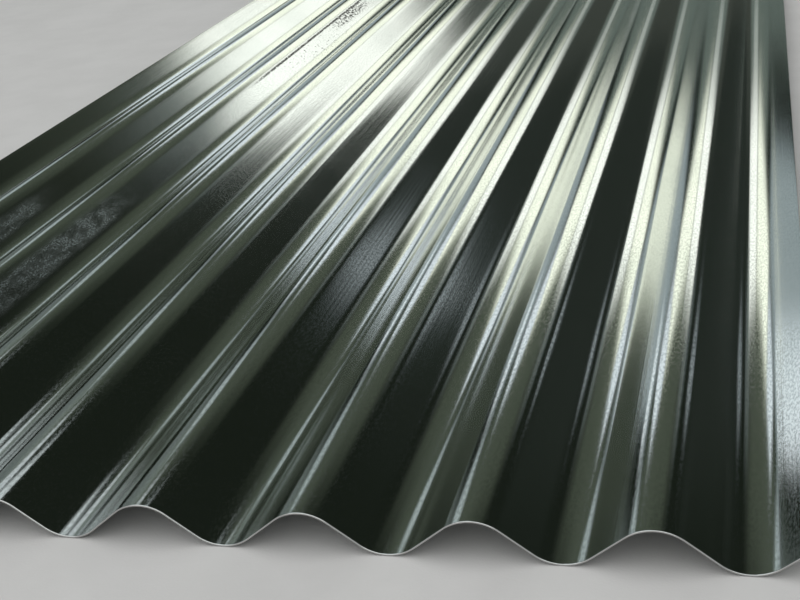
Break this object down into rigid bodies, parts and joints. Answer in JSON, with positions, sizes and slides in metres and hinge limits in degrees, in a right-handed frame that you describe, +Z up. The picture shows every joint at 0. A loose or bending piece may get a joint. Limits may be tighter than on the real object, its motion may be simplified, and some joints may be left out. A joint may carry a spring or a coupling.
{
  "type": "corrugated metal sheet",
  "caption": "Flat-lying corrugated sheet of bright galvanised steel with round waves along its length, for roofing and cladding.",
  "frame": {"origin": "middle of the sheet's plan, on the level that its valleys rest on", "axes": "+X across the waves, +Y along the waves, +Z up out of the sheet"},
  "size_m": [0.664, 1.8, 0.0199],
  "materials": {
    "galvanised_steel": "bright hot-dip zinc coat with a very fine spangle, semi-mirror"
  },
  "bodies": {
    "root": {"corrugated_sheet": "galvanised_steel"}
  },
  "joints": []
}
